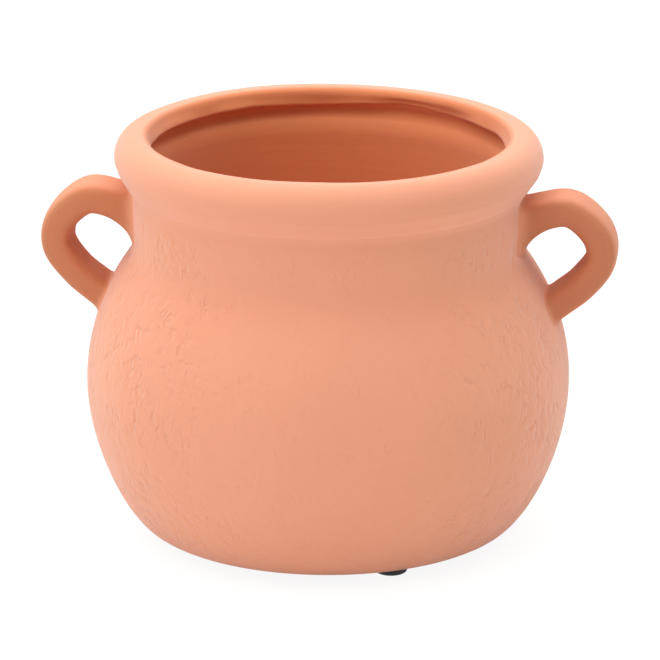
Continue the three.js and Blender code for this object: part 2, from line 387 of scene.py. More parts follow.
pot_bm.normal_update()
for vert in pot_bm.verts:
    place = vert.co.copy()
    radius = math.hypot(place.x, place.y)
    if radius < FOOT_RADIUS / 2 or place.z < FOOT_LEVEL + FOOT_EDGE:
        continue
    angle = math.atan2(place.y, place.x)
    outward = Vector((place.x, place.y, 0)).normalized()
    above_neck = smooth(place.z, NECK_TOP, ROLL_LEVEL)
    vert.co.z += above_neck * (
        RIM_LIFT + RIM_TILT * place.x / NECK_RADIUS
        + RIM_SWELL * around(angle, waves=5, seed=1.3))
    from_lip = math.hypot(radius - LIP.x, place.z - LIP.z)
    near_lip = 1 - smooth(from_lip, LIP_NEAR, LIP_FAR)
    near_trim = smooth(place.z, LIP.z, LIP.z + TRIM_HEIGHT) * (
        1 - smooth(radius, LIP.x + TRIM_LEAN, ROLL_RADIUS))
    vert.co.z += near_lip * LIP_WANDER * (
        SLOW_SHARE * around(angle, waves=9, seed=2.1)
        + (1 - SLOW_SHARE) * around(angle, waves=34, seed=5.2))
    vert.co.z += near_lip * LIP_RISE * (
        1 - smooth(abs(angle - LIP_RISE_PLACE), 0, LIP_RISE_WIDTH))
    behind = 1 - smooth(abs(angle - LIP_RISE_PLACE), LIP_BACK_NEAR, LIP_BACK_FAR)
    vert.co += outward * (
        near_lip * LIP_BACK * behind + above_neck * RIM_WIDER * max(math.cos(angle), 0) ** 2)
    vert.co += outward * TRIM_WANDER * (
        near_lip * around(angle, waves=16, seed=0.7)
        + near_trim * around(angle, waves=14, seed=7.4))
    if not on_outer_side(vert):
        continue
    share = smooth(place.z, FOOT_LEVEL, FOOT_LEVEL + SWELL_FADE) * (
        1 - smooth(place.z, NECK_TOP - SWELL_FADE, NECK_TOP))
    swell = noise.noise(place / SWELL_LENGTH + NOISE_PLACE)
    vert.co += vert.normal * share * WALL_SWELL * swell
    below_line = TURNING_LINE + TURNING_EDGE * around(angle, waves=6, seed=4.4) - place.z
    groove = smooth(below_line, -TURNING_SOFTNESS, TURNING_EDGE) * (
        1 - smooth(below_line, TURNING_EDGE, TURNING_WIDTH))
    vert.co -= outward * TURNING_DEPTH * groove
print("rim leans by", abs(RIM_TILT) / MM, "mm")

# %% [markdown]
# The neck and belly are covered in fine wrinkles, as slip shows when it is dabbed with a
# sponge and dries. The rim was wiped smooth, and so was the clay around each handle's roots,
# and the middle of the front is calmer. How rough each place is goes into a vertex
# attribute, so that the mesh and the material agree about it. A second attribute says where
# the pale coat lies. Where it does not, a darker colour shows, which also paints the shade
# inside the pot. The handles' roots are placed here, because both handles and wrinkles need
# them.

# %% Rough places and coated places
UPPER_ROOT = spot(NECK_RADIUS, NECK_TOP - 6.5 * MM)
LOWER_ROOT_LEVEL = CREASE_LEVEL - 16 * MM
LOWER_ROOT = spot(
    BELLY_RADIUS * math.cos(math.asin((LOWER_ROOT_LEVEL - BELLY_LEVEL) / SHOULDER_RISE)),
    LOWER_ROOT_LEVEL)
WIPED_NEAR = 11 * MM
WIPED_FAR = 19 * MM
FOOT_WIPED = FOOT_LEVEL + 1 * MM
FOOT_ROUGH = FOOT_LEVEL + 7 * MM
NECK_ROUGH = NECK_TOP - 4 * MM
NECK_WIPED = NECK_TOP + 1 * MM
CREASE_MIDDLE = CREASE_LEVEL + 1 * MM
CREASE_NEAR = 0.5 * MM
CREASE_FAR = 3.5 * MM
CREASE_SHARE = 0.45
CALM_PLACE = -math.pi / 2 + CAMERA_AZIMUTH
CALM_SHARE = 0.6
CALM_NEAR = math.radians(14)
CALM_FAR = math.radians(50)
COAT_FOOT = 0.7 * MM
COAT_RISE = 0.6
COAT_INNER = 0.2 * MM
COAT_OUTER = 2.0 * MM


def roughness_at(place, outer):
    """How wrinkled the clay is at a place: 0 where it was wiped, 1 on the open wall."""
    if not outer:
        return 0.0
    folded = Vector((abs(place.x), place.y, place.z))
    root = min((folded - UPPER_ROOT).length, (folded - LOWER_ROOT).length)
    from_foot = smooth(place.z, FOOT_WIPED, FOOT_ROUGH)
    from_rim = 1 - smooth(place.z, NECK_ROUGH, NECK_WIPED)
    from_crease = smooth(abs(place.z - CREASE_MIDDLE), CREASE_NEAR, CREASE_FAR)
    crease = CREASE_SHARE + (1 - CREASE_SHARE) * from_crease
    from_calm = abs(math.atan2(place.y, place.x) - CALM_PLACE)
    calm = CALM_SHARE * (1 - smooth(from_calm, CALM_NEAR, CALM_FAR))
    return from_foot * from_rim * crease * (1 - calm) * smooth(root, WIPED_NEAR, WIPED_FAR)


def coat_at(place, radius, outer):
    """Where the pale coat lies: 1 outside and over the rim, 0 inside and under the foot."""
    # Where the coat is 0, the darker bare colour also paints the shade inside the pot.
    if outer:
        return smooth(place.z, FOOT_LEVEL + FOOT_EDGE, FOOT_LEVEL + COAT_FOOT)
    trim_radius = LIP.x + TRIM_LEAN
    over_rim = smooth(place.z, LIP.z + COAT_RISE * TRIM_HEIGHT, LIP.z + TRIM_HEIGHT)
    return over_rim * smooth(radius, trim_radius - COAT_INNER, trim_radius + COAT_OUTER)


pot_bm.normal_update()
rough_layer = pot_bm.verts.layers.float.new("wrinkled")
coat_layer = pot_bm.verts.layers.float.new("coated")
for vert in pot_bm.verts:
    radius = math.hypot(vert.co.x, vert.co.y)
    outer = on_outer_side(vert) and radius > FOOT_RADIUS
    vert[rough_layer] = roughness_at(vert.co, outer)
    vert[coat_layer] = coat_at(vert.co, radius, outer)
print("wrinkled vertices:", sum(v[rough_layer] > 0.5 for v in pot_bm.verts))

# %% [markdown]
# The mesh takes only the broad wrinkles, which are a few vertices wide, and the material
# later adds the fine ones. A broad wrinkle is a noise that is stretched upright, bent by a
# second noise and folded at its middle value, because wet slip lies in soft folds and not in
# round bumps.

# %% Wrinkle the wall
WRINKLE_LENGTH = 4.6 * MM
WRINKLE_DEPTH = 0.08 * MM
WRINKLE_UPRIGHT = 0.5
WRINKLE_WARP = 1.3
WARP_SCALE = 0.45
VALLEY_SHARPNESS = 2.6
MIDDLE_DEPTH = 0.3
LEAST_ROUGH = 0.01


def broad_wrinkle(place):
    """Soft folds: 0 on a fold's top, 1 in the valley between two folds."""
    at = Vector((place.x, place.y, WRINKLE_UPRIGHT * place.z)) / WRINKLE_LENGTH
    bent = at + WRINKLE_WARP * noise.noise_vector(at * WARP_SCALE + NOISE_PLACE)
    valley = 1 - min(1.0, abs(noise.noise(bent)) * VALLEY_SHARPNESS)
    return valley * valley


for vert in pot_bm.verts:
    if vert[rough_layer] > LEAST_ROUGH:
        depth = WRINKLE_DEPTH * vert[rough_layer] * (broad_wrinkle(vert.co) - MIDDLE_DEPTH)
        vert.co -= vert.normal * depth
print("deepest fold in mm:", round(WRINKLE_DEPTH * (1 - MIDDLE_DEPTH) / MM, 3))

# %% [markdown]
# A bmesh is a workbench. What was made on it has to be stored in a mesh, and the mesh in an
# object, before the camera can see it. The pot's wall is also kept as a search tree, because
# the handles will have to find the wall that they are pressed onto.


# %% Store the pot
def finished(bm, name):
    """A smooth-shaded object at the origin, with its place in its mesh."""
    bm.normal_update()
    mesh = bpy.data.meshes.new(name)
    bm.to_mesh(mesh)
    mesh.polygons.foreach_set("use_smooth", [True] * len(mesh.polygons))
    piece = bpy.data.objects.new(name, mesh)
    bpy.context.scene.collection.objects.link(piece)
    print(f"{name}: {len(mesh.vertices)} vertices, {len(mesh.polygons)} faces")
    return piece


pot = finished(pot_bm, "terracotta_pot")
pot_surface = BVHTree.FromBMesh(pot_bm)

# %% [markdown]
# Each handle is a strap of clay, pulled flat with soft edges, bent into an ear and pressed
# onto the pot. Its middle line leaves the neck, arches over, comes down the outside and runs
# back into the shoulder. The line is one smooth curve through a few given places, in the way
# that a potter bends the strap, and not an arc, because a hand leaves a tighter
# bend at the top than below it. The strap gets a little thinner towards its lower end.

# %% The strap's middle line
STRAP_THICKNESS = 9.8 * MM
STRAP_WIDTH = 17.2 * MM
STRAP_SQUARENESS = 3.8
LOWER_THINNING = {1: 0.07, -1: 0.13}
THINNING_START = 0.45
THINNING_END = 0.85
LEFT_NEARER = 0.4 * MM
REACH_CLEARANCE = 0.3 * MM
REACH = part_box("handle_right")[1].x - STRAP_THICKNESS / 2 - REACH_CLEARANCE
SPAN = REACH - UPPER_ROOT.x
DROP = UPPER_ROOT.z - LOWER_ROOT.z
ARCH = 4.2 * MM
ARM_SLOPE = math.radians(27)
FOOT_SLOPE = math.radians(60)
GUIDE_LENGTH = 8 * MM
STRAP_STEP = 0.75 * MM


def passed(out, up=0.0, down=0.0):
    """A place on the way, in shares of the strap's span, its arch and its drop."""
    return UPPER_ROOT + spot(out * SPAN, up * ARCH - down * DROP)


def through(places, steps=24):
    """A smooth line through all places but the first and last, which steer its ends."""
    line = []
    for before, start, end, after in zip(places, places[1:], places[2:], places[3:]):
        first = (start - before).length ** 0.5
        middle = (end - start).length ** 0.5
        last = (after - end).length ** 0.5
        leave = (end - start) - middle * (
            (end - before) / (first + middle) - (start - before) / first)
        arrive = (end - start) - middle * (
            (after - start) / (middle + last) - (after - end) / last)
        line += bezier(start, start + leave / 3, end - arrive / 3, end, steps)[1 if line else 0:]
    return line


strap_line = evenly(through([
    moved(UPPER_ROOT, -GUIDE_LENGTH, ARM_SLOPE),
    UPPER_ROOT,
    passed(out=0.3, up=0.84),
    passed(out=0.62, up=1),
    passed(out=0.96, down=0.12),
    passed(out=1, down=0.41),
    passed(out=0.76, down=0.72),
    LOWER_ROOT,
    moved(LOWER_ROOT, -GUIDE_LENGTH, FOOT_SLOPE),
]), STRAP_STEP)
strap_lengths = lengths_along(strap_line)
print("strap:", round(strap_lengths[-1] / MM, 1), "mm long in", len(strap_line), "stations")

# %% [markdown]
# The strap's skin is made ring by ring. A circle becomes a rounded rectangle, and then each
# extrude copies the last ring and a matrix carries it to the next station. The first and
# last few millimetres are different: there the clay was smeared onto the pot. So each point
# of the last clear ring looks along the strap for the pot's wall, and a small curve runs
# from the strap's side to a place on the wall just outside that point. The very last ring
# sinks into the wall, where it is closed.

# %% The strap's section and stations
SECTION_POINTS = 64


def section_ring(bm, hole_share):
    """The strap's section as a ring of edges in the X-Y plane. X points to the hole."""
    ring = bmesh.ops.create_circle(bm, segments=SECTION_POINTS, radius=1)["verts"]
    for vert in ring:
        vert[hole_share] = vert.co.x
        for axis, half in ((0, STRAP_THICKNESS / 2), (1, STRAP_WIDTH / 2)):
            share = vert.co[axis]
            vert.co[axis] = half * math.copysign(abs(share) ** (2 / STRAP_SQUARENESS), share)
    return ring


def facing(side):
    """The move that takes the right handle's frame to the handle on this side."""
    if side > 0:
        return Matrix.Identity(4)
    return Matrix.Translation((LEFT_NEARER, 0, 0)) @ Matrix.Rotation(math.pi, 4, "Z")


def station_matrix(index, side):
    """Where the section goes at one station of the middle line, and how thick it is."""
    tangent = (strap_line[index + 1] - strap_line[index - 1]).normalized()
    to_hole = Vector((tangent.z, 0, -tangent.x))
    place = Matrix((to_hole, Vector((0, 1, 0)), -tangent)).transposed().to_4x4()
    place.translation = strap_line[index]
    kept = 1 - LOWER_THINNING[side] * smooth(
        index / len(strap_line), THINNING_START, THINNING_END)
    thinner = Matrix.Translation(((kept - 1) * STRAP_THICKNESS / 2, 0, 0)) @ (
        Matrix.Scale(kept, 4, (1, 0, 0)))
    return facing(side) @ place @ thinner


def next_ring(bm, ring):
    """Extrudes a ring's edges and returns the new vertices in the same order."""
    wanted = set(ring)
    edges = dict.fromkeys(e for v in ring for e in v.link_edges if e.other_vert(v) in wanted)
    made = bmesh.ops.extrude_edge_only(bm, edges=list(edges))["geom"]
    fresh = {g for g in made if isinstance(g, bmesh.types.BMVert)}
    near = [{e.other_vert(v) for e in v.link_edges} & fresh for v in ring]
    return [found.pop() for found in near]


# %% [markdown]
# The curves at the two roots differ. Below, a thumb went once around the strap, and the curve
# is small everywhere. Above, more clay was pushed up from inside the hole, so there the curve
# is long and nearly straight. Each curve ends a hair under the wall's skin, so that no gap
# shows along it.

# %% Smear an end onto the wall
FILLET_STEPS = 12
FILLET_CUTS = 24
UPPER_FILLETS = {"top": 1.8 * MM, "side": 3.2 * MM, "hole": 8.4 * MM}
LOWER_FILLETS = {"top": 2.2 * MM, "side": 2.8 * MM, "hole": 1.6 * MM}
SIDE_SHARE = 0.15
FACE_SHARE = 0.95
LIFT_SHARE = 1.25
ROUND_PULL = 0.62
ROUND_SIZE = 5 * MM
STRAIGHT_PULL = 0.45
STRAIGHT_SIZE = 9 * MM
TUCK = 0.12 * MM
BLEND_START = 0.45
SINK = 1.6 * MM
LOOK_BACK = 2 * MM
BESIDE_EDGE = Vector((0, 0.002 * MM, 0))


def wall_hit(place, direction):
    """Where a line meets the pot's wall, and the wall's normal there.

    It looks a hair beside the place, because on an edge the hit could be either face's.
    """
    start = place + BESIDE_EDGE - direction * LOOK_BACK
    hit, normal, _, _ = pot_surface.ray_cast(start, direction)
    if hit is None:
        hit, normal, _, _ = pot_surface.find_nearest(place)
    return hit, normal


def fillet_size(share, sizes):
    """The size around the section: share is -1 on the strap's top and 1 in the hole."""
    end = sizes["hole"] if share > 0 else sizes["top"]
    return sizes["side"] + (end - sizes["side"]) * smooth(abs(share), SIDE_SHARE, FACE_SHARE)


def smear(bm, ring, direction, sizes, layers):
    """Carries a ring onto the pot's wall with a fillet, and closes it inside the wall."""
    blend, hole_share = layers
    corners = [wall_hit(v.co, direction) for v in ring]
    middle = sum((hit for hit, _ in corners), Vector()) / len(corners)
    lines = []
    for vert, (hit, normal) in zip(ring, corners):
        size = fillet_size(vert[hole_share], sizes)
        aside = hit - middle
        aside = (aside - normal * aside.dot(normal)).normalized()
        ground, ground_normal, _, _ = pot_surface.find_nearest(hit + aside * size)
        end = ground - ground_normal * TUCK
        start = vert.co.copy()
        lift = hit + (start - hit) * min(1, LIFT_SHARE * size / (start - hit).length)
        straight = smooth(size, ROUND_SIZE, STRAIGHT_SIZE)
        pull = ROUND_PULL + (STRAIGHT_PULL - ROUND_PULL) * straight
        curve = bezier(lift, lift.lerp(hit, pull), end.lerp(hit, pull), end, FILLET_CUTS)
        lines.append(evenly([start] + curve, count=FILLET_STEPS))
    shares = [v[hole_share] for v in ring]
    for step in range(1, FILLET_STEPS + 1):
        ring = next_ring(bm, ring)
        for vert, line, share in zip(ring, lines, shares):
            vert.co = line[step]
            vert[blend] = smooth(step / FILLET_STEPS, BLEND_START, 1)
            vert[hole_share] = share
    for vert, (hit, normal) in zip(next_ring(bm, ring), corners):
        vert.co = hit - normal * SINK
        vert[blend] = 1


# %% [markdown]
# The free length is made first, by extruding the section from station to station. Then both
# ends are smeared on. Last, the skin gets a slow swell, as fingers leave it, which fades out
# where the strap meets the pot. The two straps differ a little, as two made by hand would.

# %% Build the straps
UPPER_LENGTH = 9 * MM
LOWER_LENGTH = 3.5 * MM
HAND_SWELL = 0.22 * MM
HAND_LENGTH = 13 * MM


def first_clear(stations, side, length):
    """The first of the stations that lies further than a length from the pot's wall."""
    for index in stations:
        place = facing(side) @ strap_line[index]
        _, _, _, gap = pot_surface.find_nearest(place)
        if math.hypot(place.x, place.y) > NECK_RADIUS and gap > length:
            return index


def strap(side, name):
    """A handle on the right, side 1, or on the left, side -1."""
    bm = bmesh.new()
    blend = bm.verts.layers.float.new("smeared")
    hole_share = bm.verts.layers.float.new("hole_share")
    count = len(strap_line)
    half = count // 2
    first = first_clear(range(1, half), side, UPPER_LENGTH)
    last = first_clear(range(count - 2, half, -1), side, LOWER_LENGTH)
    loop = section_ring(bm, hole_share)
    shares = [v[hole_share] for v in loop]
    at = station_matrix(first, side)
    bmesh.ops.transform(bm, matrix=at, verts=loop)
    upper_end = loop
    for index in range(first + 1, last + 1):
        loop = next_ring(bm, loop)
        to = station_matrix(index, side)
        bmesh.ops.transform(bm, matrix=to @ at.inverted(), verts=loop)
        for vert, share in zip(loop, shares):
            vert[hole_share] = share
        at = to
    turned = facing(side).to_3x3()
    inward = turned @ (strap_line[first - 1] - strap_line[first]).normalized()
    onward = turned @ (strap_line[last + 1] - strap_line[last]).normalized()
    smear(bm, upper_end, inward, UPPER_FILLETS, (blend, hole_share))
    smear(bm, loop, onward, LOWER_FILLETS, (blend, hole_share))
    open_edges = [e for e in bm.edges if e.is_boundary]
    bmesh.ops.holes_fill(bm, edges=open_edges, sides=0)
    bmesh.ops.recalc_face_normals(bm, faces=bm.faces)
    bm.normal_update()
    for vert in bm.verts:
        swell = noise.noise(vert.co / HAND_LENGTH + NOISE_PLACE * side)
        vert.co += vert.normal * HAND_SWELL * swell * (1 - vert[blend])
    return finished(bm, name)


handle_right = strap(1, "ear_handle_right")
handle_left = strap(-1, "ear_handle_left")

# %% [markdown]
# Under the foot are round stick-on pads of black rubber. Each is moulded, so its edges are
# rounded and its underside is slightly dished around a flat ring. The film that holds it to
# the foot is a thin disc. Both are outlines that are turned, like the pot.

# %% Rubber pads and films
PAD_STEPS = 72
PAD_DISH = 0.35 * MM
DISH_FLAT = 0.3
DISH_END = 0.5
PAD_LAND = 0.62
PAD_EDGE = 0.8 * MM
PAD_STEP = 0.3 * MM


def pad_outline(radius, thickness):
    edge = spot(radius - PAD_EDGE, PAD_EDGE)
    top_edge = spot(radius - PAD_EDGE / 2, thickness - PAD_EDGE / 2)
    land = spot(radius * PAD_LAND, 0)
    return joined([
        (bezier(spot(0, PAD_DISH), spot(radius * DISH_FLAT, PAD_DISH),
                spot(radius * DISH_END, 0), land), PAD_STEP),
        ([land, spot(edge.x, 0)], PAD_STEP),
        (arc(edge, PAD_EDGE, PAD_EDGE, -math.pi / 2, 0), PAD_STEP / 2),
        ([spot(radius, edge.z), spot(radius, top_edge.z)], PAD_STEP),
        (arc(top_edge, PAD_EDGE / 2, PAD_EDGE / 2, 0, math.pi / 2), PAD_STEP / 2),
        ([spot(top_edge.x, thickness), spot(0, thickness)], PAD_STEP * 4),
    ])


def film_outline(radius, low, high):
    edge = (high - low) / 2
    middle = spot(radius - edge, low + edge)
    return joined([
        ([spot(0, low), spot(middle.x, low)], PAD_STEP * 4),
        (arc(middle, edge, edge, -math.pi / 2, math.pi / 2), edge / 2),
        ([spot(middle.x, high), spot(0, high)], PAD_STEP * 4),
    ])


def turned_at(outline, node, name):
    """A turned piece, moved over its node."""
    low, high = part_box(node)
    bm = bmesh.new()
    turn(bm, outline, PAD_STEPS)
    centre = (low + high) / 2
    bmesh.ops.translate(bm, vec=(centre.x, centre.y, 0), verts=bm.verts)
    return finished(bm, name)


pads, films = {}, {}
for way in ("front", "back", "left"):
    low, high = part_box(f"foot_pad_{way}")
    pads[way] = turned_at(
        pad_outline((high.x - low.x) / 2, high.z), f"foot_pad_{way}", f"rubber_pad_{way}")
    low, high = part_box(f"adhesive_film_{way}")
    films[way] = turned_at(
        film_outline((high.x - low.x) / 2, low.z, high.z),
        f"adhesive_film_{way}", f"pad_film_{way}")

# %% [markdown]
# Materials are built from nodes. The helper below adds a node, sets its plain values and
# links its sockets in one call, so that each material reads as a recipe.


# %% A helper for node recipes
class Recipe:
    """A material's node tree, with one short call for each node."""

    def __init__(self, name):
        self.material = bpy.data.materials.new(name)
        self.material.use_nodes = True
        self.tree = self.material.node_tree
        self.tree.nodes.clear()
        self.coordinates = self.add("ShaderNodeTexCoord").outputs["Object"]

    def add(self, kind, inputs=None, **settings):
        """A new node. An input that is a socket is linked, and any other is its value."""
        node = self.tree.nodes.new(kind)
        for key, value in settings.items():
            setattr(node, key, value)
        for key, value in (inputs or {}).items():
            if isinstance(value, bpy.types.NodeSocket):
                self.tree.links.new(value, node.inputs[key])
            else:
                node.inputs[key].default_value = value
        return node

    def noise(self, scale, detail=2.0, roughness=0.5, distortion=0.0, vector=None):
        return self.add("ShaderNodeTexNoise", {
            "Vector": vector or self.coordinates, "Scale": scale, "Detail": detail,
            "Roughness": roughness, "Distortion": distortion}).outputs["Fac"]

    def math(self, operation, a, b=0.0, c=0.0):
        return self.add("ShaderNodeMath", {0: a, 1: b, 2: c},
                        operation=operation).outputs[0]

    def fit(self, value, low, high, to_low=0.0, to_high=1.0):
        """The value stretched from one range to another, and held inside it."""
        return self.add("ShaderNodeMapRange", {
            "Value": value, "From Min": low, "From Max": high,
            "To Min": to_low, "To Max": to_high}).outputs["Result"]

    def mixed(self, share, a, b):
        return self.add("ShaderNodeMix", {0: share, 6: a, 7: b},
                        data_type="RGBA").outputs[2]

    def attribute(self, name):
        return self.add("ShaderNodeAttribute", attribute_name=name).outputs["Fac"]

    def bump(self, height, distance, normal=None):
        """A relief that stands out by the height times a distance in metres."""
        inputs = {"Height": height, "Distance": distance, "Strength": 1.0}
        if normal:
            inputs["Normal"] = normal
        return self.add("ShaderNodeBump", inputs).outputs["Normal"]

    def done(self, **sockets):
        """Ends the recipe with one shader, whose sockets are named with underscores."""
        shader = self.add("ShaderNodeBsdfPrincipled",
                          {key.replace("_", " "): value for key, value in sockets.items()})
        self.add("ShaderNodeOutputMaterial", {"Surface": shader.outputs["BSDF"]})
        return self.material


# %% [markdown]
# Fired clay is matte, and its colour is never quite even. Broad clouds come from the firing,
# and a fine grain from sand and grog. Outside, a thin pale coat lies over the clay, and the
# inside of the pot and the trimmed face of its rim show the bare clay. That colour is darker and
# redder, partly as bare clay and partly as painted shade of the pot's hollow and the rim's face.

# %% Colour of fired clay
CLAY = (0.825, 0.350, 0.209, 1)
CLAY_WARM = (0.812, 0.334, 0.194, 1)
CLAY_PALE = (0.838, 0.366, 0.226, 1)
# The bare colours are darker partly for the bare clay and partly as painted shade inside the
# pot.
BARE_SHADED_CLAY = (0.735, 0.238, 0.094, 1)
BARE_SHADED_WARM = (0.720, 0.222, 0.084, 1)
BARE_SHADED_PALE = (0.750, 0.258, 0.108, 1)
CLOUD_SCALE = 26
CLOUD_SHARE = 0.55
SPECK_SCALE = 900
SPECK_SHARE = 0.22
GRAIN_SCALE = 2600


def grain(recipe):
    """Fine sand in the clay, the same on every clay piece."""
    return recipe.noise(GRAIN_SCALE, detail=3, roughness=0.7)


def clay_colour(recipe, base, warm, pale):
    """A base colour with warm clouds and pale specks."""
    clouds = recipe.fit(recipe.noise(CLOUD_SCALE, detail=3), 0.3, 0.7)
    specks = recipe.fit(recipe.noise(SPECK_SCALE, detail=2, roughness=0.6), 0.35, 0.65)
    broad = recipe.mixed(recipe.math("MULTIPLY", clouds, CLOUD_SHARE), base, warm)
    return recipe.mixed(recipe.math("MULTIPLY", specks, SPECK_SHARE), broad, pale)


# %% [markdown]
# The fine wrinkles are relief only, and have no colour of their own. They are drawn by
# folding a noise that is stretched upright: where it crosses its middle value, the fold is
# a valley. A second noise breaks the valleys into short strokes, a third adds small dabs,
# and a fourth makes some patches stronger. The mesh's attribute fades all of it where the
# clay was wiped, and there the wheel left faint level rings instead.

# %% Relief of the wall
STROKE_SCALE = 340
STROKE_STRETCH = 0.55
STROKE_WIDTH = 0.17
BREAK_SCALE = 270
DAB_SCALE = 620
DAB_SHARE = 0.4
PATCH_SCALE = 95
PATCH_LEAST = 0.3
RING_SCALE = 650
RING_STRETCH = 0.05


def dabbed_relief(recipe):
    """Short upright wrinkles and small dabs, stronger in some patches than in others."""
    upright = recipe.add("ShaderNodeMapping", {
        "Vector": recipe.coordinates, "Scale": (1, 1, STROKE_STRETCH)}).outputs["Vector"]
    folds = recipe.noise(STROKE_SCALE, detail=1.5, distortion=0.5, vector=upright)
    from_middle = recipe.math("ABSOLUTE", recipe.math("SUBTRACT", folds, 0.5))
    valleys = recipe.add("ShaderNodeMapRange", {
        "Value": from_middle, "From Min": 0.0, "From Max": STROKE_WIDTH,
        "To Min": -0.5, "To Max": 0.0},
        interpolation_type="SMOOTHSTEP").outputs["Result"]
    kept = recipe.fit(recipe.noise(BREAK_SCALE, detail=1.0), 0.44, 0.60)
    strokes = recipe.math("MULTIPLY", valleys, kept)
    dabs = recipe.math("SUBTRACT", recipe.noise(DAB_SCALE, detail=1.5, vector=upright), 0.5)
    both = recipe.math("MULTIPLY_ADD", dabs, DAB_SHARE, strokes)
    patches = recipe.fit(recipe.noise(PATCH_SCALE, detail=3), 0.38, 0.60, PATCH_LEAST, 1.0)
    return recipe.math("MULTIPLY", both, patches)


def turning_rings(recipe):
    """Faint level rings, as a sponge leaves them where the rim was wiped on the wheel."""
    level = recipe.add("ShaderNodeMapping", {
        "Vector": recipe.coordinates,
        "Scale": (RING_STRETCH, RING_STRETCH, 1)}).outputs["Vector"]
    return recipe.noise(RING_SCALE, detail=2, vector=level)


# %% [markdown]
# Now the pot's clay is put together. The two colours meet where the coat ends. The three
# reliefs lie on one another, the finest first, and each bump takes the one before it as the
# surface that it works on. A little sheen stands for the dust that makes dry clay bright at
# its edges.

# %% Clay of the pot
GRAIN_DEPTH = 0.012 * MM
RING_DEPTH = 0.09 * MM
RELIEF_DEPTH = 0.72 * MM


def pot_clay():
    recipe = Recipe("terracotta_wall")
    wrinkled = recipe.attribute("wrinkled")
    relief = recipe.math("MULTIPLY", dabbed_relief(recipe), wrinkled)
    coat = clay_colour(recipe, CLAY, CLAY_WARM, CLAY_PALE)
    # The bare colour inside is darker partly as painted shade of the pot's hollow.
    bare_and_shaded = clay_colour(recipe, BARE_SHADED_CLAY, BARE_SHADED_WARM, BARE_SHADED_PALE)
    colour = recipe.mixed(recipe.attribute("coated"), bare_and_shaded, coat)
    fine = recipe.bump(grain(recipe), GRAIN_DEPTH)
    wiped = recipe.math("SUBTRACT", 1.0, wrinkled)
    rings = recipe.math("MULTIPLY", turning_rings(recipe), wiped)
    ringed = recipe.bump(rings, RING_DEPTH, fine)
    deep = recipe.bump(relief, RELIEF_DEPTH, ringed)
    roughness = recipe.fit(recipe.noise(120, detail=4), 0.3, 0.7, 0.78, 0.9)
    return recipe.done(Base_Color=colour, Roughness=roughness, Normal=deep,
                       IOR=1.45, Specular_IOR_Level=0.35, Sheen_Weight=0.32,
                       Sheen_Roughness=0.5)


pot.data.materials.append(pot_clay())

# %% [markdown]
# The handles are the same clay, worked with wet fingers, and smoother. Their colour is painted
# shade: darker than the pot's, and redder for a painted glow of light thrown back from the pot.
# Their tops take part of the pot's paler colour as painted light from above, and at the roots
# the colour runs into the pot's. Both are steered by attributes that the strap's mesh carries.

# %% Clay of the handles
# Painted shade: darker, redder handle colours, with painted red bounce light from the pot.
SHADED_STRAP_CLAY = (0.575, 0.203, 0.098, 1)
SHADED_STRAP_WARM = (0.560, 0.192, 0.090, 1)
SHADED_STRAP_PALE = (0.610, 0.226, 0.116, 1)
LIT_TOP_SHARE = 0.6
LIT_TOP_FULL = -0.92
LIT_TOP_NONE = -0.55
FINGER_DEPTH = 0.12 * MM
STRAP_GRAIN_DEPTH = 0.01 * MM


def handle_clay():
    recipe = Recipe("terracotta_handle")
    smeared = recipe.attribute("smeared")
    colour = clay_colour(recipe, SHADED_STRAP_CLAY, SHADED_STRAP_WARM, SHADED_STRAP_PALE)
    # Painted light: the strap's top takes some of the pot's paler colour, as if lit from above.
    top = recipe.fit(recipe.attribute("hole_share"), LIT_TOP_FULL, LIT_TOP_NONE, LIT_TOP_SHARE, 0.0)
    colour = recipe.mixed(recipe.math("MAXIMUM", smeared, top), colour, CLAY)
    finger_marks = recipe.noise(140, detail=2, roughness=0.45)
    fine = recipe.bump(grain(recipe), STRAP_GRAIN_DEPTH)
    soft = recipe.bump(finger_marks, FINGER_DEPTH, fine)
    roughness = recipe.fit(recipe.noise(150, detail=3), 0.3, 0.7, 0.72, 0.86)
    return recipe.done(Base_Color=colour, Roughness=roughness, Normal=soft,
                       IOR=1.45, Specular_IOR_Level=0.35, Sheen_Weight=0.06,
                       Sheen_Roughness=0.5)


for handle in (handle_right, handle_left):
    handle.data.materials.append(handle_clay())

# %% [markdown]
# Rubber is nearly black, and its moulded skin has a soft gleam with dust in it. The film is
# a milky plastic that lets some light through.

# %% Rubber and film
RUBBER = (0.012, 0.011, 0.010, 1)
RUBBER_DUSTY = (0.045, 0.040, 0.036, 1)
FILM = (0.72, 0.70, 0.62, 1)
FILM_CLOUDY = (0.80, 0.79, 0.74, 1)


def rubber():
    recipe = Recipe("black_rubber")
    dust = recipe.fit(recipe.noise(700, detail=4, roughness=0.7), 0.45, 0.75)
    skin = recipe.bump(recipe.noise(4200, detail=2), 0.02 * MM)
    roughness = recipe.fit(dust, 0.0, 1.0, 0.5, 0.72)
    return recipe.done(Base_Color=recipe.mixed(dust, RUBBER, RUBBER_DUSTY),
                       Roughness=roughness, Normal=skin, IOR=1.5)


def adhesive_film():
    recipe = Recipe("adhesive_film")
    cloud = recipe.noise(900, detail=3)
    return recipe.done(Base_Color=recipe.mixed(cloud, FILM, FILM_CLOUDY),
                       Roughness=recipe.fit(cloud, 0.2, 0.8, 0.35, 0.55),
                       Normal=recipe.bump(cloud, 0.01 * MM), IOR=1.46,
                       Transmission_Weight=0.25)


rubber_skin, film_skin = rubber(), adhesive_film()
for way in pads:
    pads[way].data.materials.append(rubber_skin)
    films[way].data.materials.append(film_skin)

# %% [markdown]
# Nothing on this planter moves, so every piece rides on the one body. The list pairs each new
# piece with the construction node that it stands for, which is hidden, and with the name of
# its finish, which nothing here uses.

